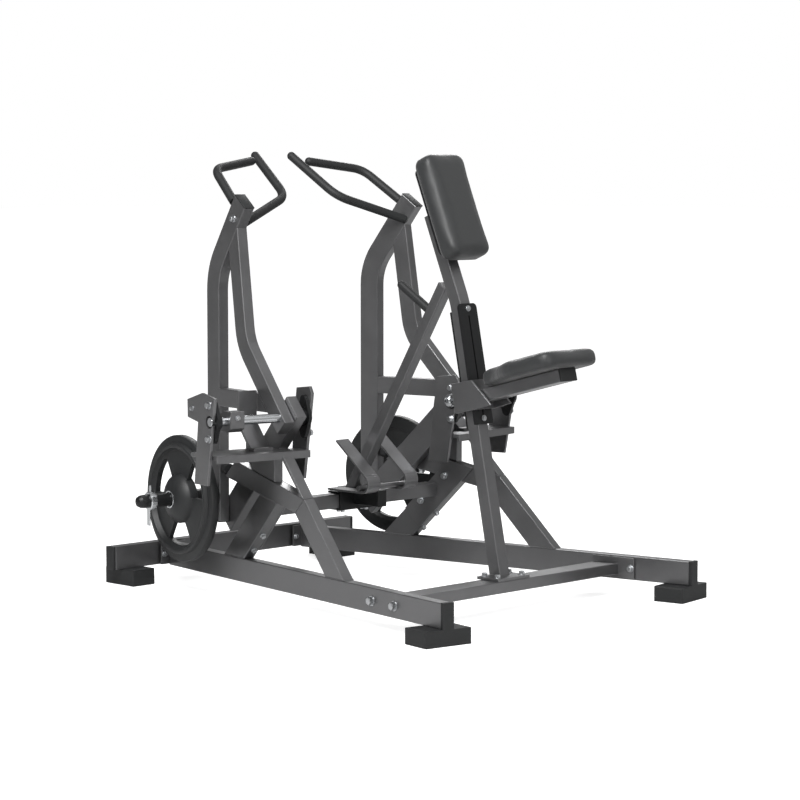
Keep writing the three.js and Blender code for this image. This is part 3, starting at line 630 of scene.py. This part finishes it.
HEAD_LEAN = math.radians(36.3)
TUBE_CAP = (42.6, 80.6)  # mm, a little larger than the arm's tube
BUMPER_PROFILE = [(0, 0), (0, 20), (22, 20), (30, 17), (36, 9), (37, 0)]
LINING_PROFILE = [
    (2, 25.1), (72, 25.1), (73, 26.5), (73, 30), (72, 31.6), (69, 31.6), (69, 27), (2, 27),
]
for side, label in ((-1, "left"), (1, "right")):
    here = side_matrix(side)
    low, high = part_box("rear_crossbar")
    middle = (low + high) / 2
    end = Matrix.Translation((side * (high.x + 5 * MM), middle.y, middle.z))
    rounded_block(f"crossbar_cap_{label}", "frame", (12, 43, 86), end, rubber)
    head = here @ Matrix.Translation((0, 1220 * MM, 1405.5 * MM))
    head = head @ Matrix.Rotation(HEAD_LEAN, 4, "X")
    rounded_block(
        f"head_cap_{label}", f"arm_{label}", (*TUBE_CAP, 5), head, rubber, 1.6
    )
    foot = here @ Matrix.Translation((0, 1406 * MM, 254.5 * MM))
    rounded_block(
        f"foot_cap_{label}", f"arm_{label}", (*TUBE_CAP, 4), foot, rubber, 1.6
    )
    stop = turned("bumper", [(x * MM, r * MM) for x, r in BUMPER_PROFILE], 40)
    to_back = here @ Matrix.Translation((0, 1329 * MM, 447 * MM))
    to_back = to_back @ Matrix.Rotation(math.pi / 2, 4, "Z")
    bumper = new_object(f"rest_bumper_{label}", place_mesh(stop, to_back), rubber, 40)
    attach(bumper, "frame")
    ring = [(x * MM + PLATE_INSIDE, r * MM) for x, r in LINING_PROFILE]
    lining = turned("lining", ring, 64, closed=True)
    lining = place_mesh(lining, here @ Matrix.Translation((0, *HORN)))
    bore_sleeve = new_object(f"bore_sleeve_{label}", lining, chrome, 30)
    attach(bore_sleeve, f"plate_{label}")
    flange = here @ Matrix.Translation(Vector((-25.4, 325, 97.5)) * MM)
    rounded_block(
        f"bar_flange_{label}", "frame", (8, 170, 75), flange, powder_coat, 1.2
    )
    for a in (255, 395):
        hex_bolt(
            f"flange_nut_{a}_{label}", "frame", side_place(side, -29.4, a, 97.5),
            side_way(side, -1, 0, 0), 19 * MM,
        )

# ---- Pivot shafts ----------------------------------------------------------
# Each arm turns on a ground chrome shaft. A steel clamp block with cut corners locks
# it beside the outer bearing, painted like the frame and closed by one hex screw.
PIVOT = Matrix.Translation((0, 975 * MM, 660 * MM))
SHAFT_PROFILE = [(-104, 0), (-104, 14.5), (-102.5, 16), (296.5, 16), (298, 14.5), (298, 0)]
CLAMP_OUTLINE = [(-34, -24), (-14, -38), (34, -38), (34, 24), (16, 34), (-34, 34)]
for side, label in ((-1, "left"), (1, "right")):
    here = side_matrix(side) @ PIVOT
    bar = turned("shaft", [(x * MM, r * MM) for x, r in SHAFT_PROFILE], 64)
    shaft = new_object(f"ground_shaft_{label}", place_mesh(bar, here), chrome, 30)
    block = prism("clamp", [(y * MM, z * MM) for y, z in CLAMP_OUTLINE], 56 * MM, 179 * MM)
    clamp = new_object(f"shaft_clamp_{label}", place_mesh(block, here), powder_coat, 30)
    rounding = clamp.modifiers.new("broken edges", "BEVEL")
    rounding.width, rounding.segments = 1.6 * MM, 3
    settled(clamp)
    for thing in (shaft, clamp):
        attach(thing, f"arm_{label}")
    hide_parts(f"pivot_shaft_{label}")
    hex_bolt(
        f"clamp_screw_{label}", f"arm_{label}", side_place(side, 207, 941, 672),
        side_way(side, 0, -1, 0), 13 * MM,
    )

# ---- Footrest ribs and column bolts ----------------------------------------
# Ribs across the bent nose of each foot plate stop a shoe from slipping. Hex bolts
# hold the guide plate to the column, the rear end plates to the crossbar and the saddle
# under the footrest.
COLUMN_LEAN = math.radians(11.5)
NOSE_RADIUS = 36
TREAD_RIBS, FIRST_RIB, RIB_STEP = 9, -60, 17  # how many; degrees
column_turn = Matrix.Translation((0, (-513 + MACHINE_SHIFT) * MM, 123 * MM))
column_turn = column_turn @ Matrix.Rotation(-COLUMN_LEAN, 4, "X")
for along in (548, 932):
    spot = column_turn @ Vector((0, -8.4 * MM, along * MM))
    way = column_turn.to_3x3() @ Vector((0, -1, 0))
    hex_bolt(f"guide_bolt_{along}", "frame", spot, way, 15 * MM, head_height=5 * MM)
for side in (-1, 1):
    for x in (285, 381):
        end = Vector((side * x, 795.6, 98)) * MM
        hex_bolt(f"end_plate_bolt_{side * x}", "frame", end, (0, -1, 0), 15 * MM)
    for y in (228, 250):
        under = Vector((side * 60, y + MACHINE_SHIFT, 291.4)) * MM
        hex_bolt(f"saddle_bolt_{side * 60}_{y}", "frame", under, (0, 0, -1), 13 * MM)
for side, label in ((-1, "left"), (1, "right")):
    low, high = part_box(f"foot_plate_{label}")
    middle = (low.x + high.x) / 2
    bend = Vector((middle, low.y + NOSE_RADIUS * MM, low.z + NOSE_RADIUS * MM))
    for number in range(TREAD_RIBS):
        turn = math.radians(FIRST_RIB + RIB_STEP * number)
        out = Vector((0, -math.cos(turn), math.sin(turn)))
        rib = Matrix.Translation(bend + out * (NOSE_RADIUS - 0.3) * MM)
        rib = rib @ Matrix.Rotation(-turn, 4, "X")
        rounded_block(
            f"tread_rib_{label}_{number}", "frame", (58, 1.0, 4), rib, powder_coat,
            0.35,
        )

# ---- Weld beads ------------------------------------------------------------
# Short MIG beads run along both cheeks of four tube joints a side and beside the
# column's foot, under the same powder coat, with a ripple where each drop froze.
BEAD, RIPPLE, RIPPLE_STEP = 1.9 * MM, 0.22, 1.1 * MM
WELDS = [  # name, start (a, z) and end (a, z) on a tube's two side faces
    ("strut_foot", (577, 141.2), (682, 141.2)),
    ("post_foot", (1207, 141.2), (1336, 141.2)),
    ("strut_head", (817, 390), (872, 341)),
    ("post_head", (986, 361), (1096, 382)),
]


def weld_bead(name, body, start, end):
    count = max(8, round((end - start).length / RIPPLE_STEP))
    points = [start.lerp(end, i / count) for i in range(count + 1)]
    radii = [BEAD * (1 + RIPPLE * math.sin(i * 1.6)) for i in range(count + 1)]
    bead = new_object(name, swept(name, points, radii, 8), powder_coat, 60)
    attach(bead, body)


for side, label in ((-1, "left"), (1, "right")):
    for name, start, end in WELDS:
        for face in (-21, 21):
            weld_bead(
                f"weld_{name}_{face}_{label}", "frame",
                side_place(side, face, *start), side_place(side, face, *end),
            )
for x in (-25, 25):
    foot = [Vector((x, y + MACHINE_SHIFT, 124)) * MM for y in (-511, -463)]
    weld_bead(f"weld_column_{x}", "frame", *foot)

# ---- Seat tube cap and seams -----------------------------------------------
# A black cap closes the front of the seat tube. One seam crosses the seat near the
# column and one runs round the back of the chest pad, each a thin plain cord of vinyl.
seat_turn = Matrix.Translation((0, (-440 + MACHINE_SHIFT) * MM, 722 * MM))
seat_turn = seat_turn @ Matrix.Rotation(-SEAT_RISE, 4, "X")
cap_place = seat_turn @ Matrix.Translation((0, -370 * MM, 22 * MM))
rounded_block("seat_tube_cap", "seat", (81, 8, 45), cap_place, rubber, 1.8)


SEAM_RADIUS, SEAM_STEPS = 0.9 * MM, 16


def seam(name, cushion, body, corners, matrix):
    """A thin raised seam that follows the cushion's surface through the given corners."""
    cushion_tree = BVHTree.FromObject(cushion, bpy.context.evaluated_depsgraph_get())
    points = []
    for start, end in zip(corners, corners[1:]):
        for i in range(SEAM_STEPS):
            guess = matrix @ (Vector(start).lerp(Vector(end), i / SEAM_STEPS) * MM)
            points.append(cushion_tree.find_nearest(guess)[0])
    cord = swept(name, points, [SEAM_RADIUS] * len(points), 10)
    line = new_object(name, cord, vinyl, 180)
    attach(line, body)


seam(
    "seat_cross_seam", seat_cushion, "seat",
    [(-120, -150, 46), (-96, -150, 112), (96, -150, 112), (120, -150, 46)], seat_turn,
)
pad_turn = Matrix.Translation((0, (-282 + MACHINE_SHIFT) * MM, 1199 * MM))
pad_turn = pad_turn @ Matrix.Rotation(-PAD_LEAN, 4, "X")
PAD_EDGE = [
    (-104, 20), (-104, 344), (-70, 380), (70, 380), (104, 344), (104, 20), (70, -16),
    (-70, -16), (-104, 20),
]
seam("chest_back_seam", chest_cushion, "frame", [(x, -30, z) for x, z in PAD_EDGE], pad_turn)

# ---- Camera, floor and light -----------------------------------------------
# A long lens from the -X, -Y corner, 1.5 m up, over a white studio floor under large
# soft lights. LOOK is the way the lens points.
EYE = Vector((-6.5564, -6.5311, 1.495))
LOOK = Vector((0.7089, 0.7001, -0.0860))
camera_data = bpy.data.cameras.new("camera")
camera_data.lens, camera_data.sensor_width = 116.8, 36.0
camera_data.clip_end = 400
camera = bpy.data.objects.new("camera", camera_data)
camera.location = EYE
camera.rotation_euler = LOOK.to_track_quat("-Z", "Y").to_euler()
bpy.context.scene.collection.objects.link(camera)
bpy.context.scene.camera = camera


def studio_white():
    # Seamless pale paper: almost white, with the faintest mottling.
    material, tree, shader, place = new_material("studio paper")
    soft = add_node(tree, "ShaderNodeTexNoise", Vector=place, Scale=0.7, Detail=2.0)
    tint = add_node(
        tree, "ShaderNodeMix", {"data_type": "RGBA"},
        _0=soft.outputs["Fac"], _6=linear("cdcdcd"), _7=linear("d2d2d2"),
    )
    tree.links.new(tint.outputs[2], shader.inputs["Base Color"])
    shader.inputs["Roughness"].default_value = 0.9
    shader.inputs["Specular IOR Level"].default_value = 0.1
    shader.inputs["Emission Color"].default_value = (1, 1, 1, 1)
    # The glow is for the lens only; it doesn't light the machine.
    seen = tree.nodes.new("ShaderNodeLightPath").outputs["Is Camera Ray"]
    glow = add_node(tree, "ShaderNodeMath", {"operation": "MULTIPLY"}, _0=seen, _1=0.72)
    tree.links.new(glow.outputs["Value"], shader.inputs["Emission Strength"])
    return material


FLOOR_REACH = 90  # metres each way
floor_mesh = bpy.data.meshes.new("floor")
FLOOR_SIDES = ((-1, -1), (1, -1), (1, 1), (-1, 1))
floor_corners = [(x * FLOOR_REACH, y * FLOOR_REACH, 0) for x, y in FLOOR_SIDES]
floor_mesh.from_pydata(floor_corners, [], [(0, 1, 2, 3)])
floor = new_object("floor", floor_mesh, studio_white())
floor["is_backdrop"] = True

# The room: brighter overhead and towards -Y, darker low down and towards +Y, so that each
# face of a tube gets its own tone. What the lens sees behind the machine is white.
world = bpy.data.worlds.new("studio")
world.use_nodes = True
room = world.node_tree
around = room.nodes.new("ShaderNodeTexCoord").outputs["Generated"]
split = add_node(room, "ShaderNodeSeparateXYZ", Vector=around)
upward = add_node(
    room, "ShaderNodeMapRange", Value=split.outputs["Z"],
    From_Min=-0.2, From_Max=0.9, To_Min=0.14, To_Max=0.95,
)
frontward = add_node(
    room, "ShaderNodeMapRange", Value=split.outputs["Y"],
    From_Min=-1.0, From_Max=0.6, To_Min=1.35, To_Max=0.35,
)
glow = add_node(
    room, "ShaderNodeMath", {"operation": "MULTIPLY"},
    _0=upward.outputs["Result"], _1=frontward.outputs["Result"],
)
seen = room.nodes.new("ShaderNodeLightPath").outputs["Is Camera Ray"]
strength = add_node(room, "ShaderNodeMix", _0=seen, _2=glow.outputs["Value"], _3=1.0)
room.links.new(strength.outputs[0], room.nodes["Background"].inputs["Strength"])
room.nodes["Background"].inputs["Color"].default_value = (1, 1, 1, 1)
bpy.context.scene.world = world
LAMP_TARGET = Vector((0, 0, 0.7))
for name, place, size, power in (
    ("key", (-3.6, -1.2, 4.2), 2.2, 340),
    ("fill", (-1.5, -5.0, 2.2), 2.4, 55),
    ("rim", (3.5, 3.0, 3.6), 2.0, 120),
):
    lamp_data = bpy.data.lights.new(name, "AREA")
    lamp_data.size, lamp_data.energy = size, power
    lamp = bpy.data.objects.new(name, lamp_data)
    lamp.location = place
    aim = LAMP_TARGET - Vector(place)
    lamp.rotation_euler = aim.to_track_quat("-Z", "Y").to_euler()
    bpy.context.scene.collection.objects.link(lamp)
    lamp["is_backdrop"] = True
bpy.context.scene.view_settings.view_transform = "Standard"

low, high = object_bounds()
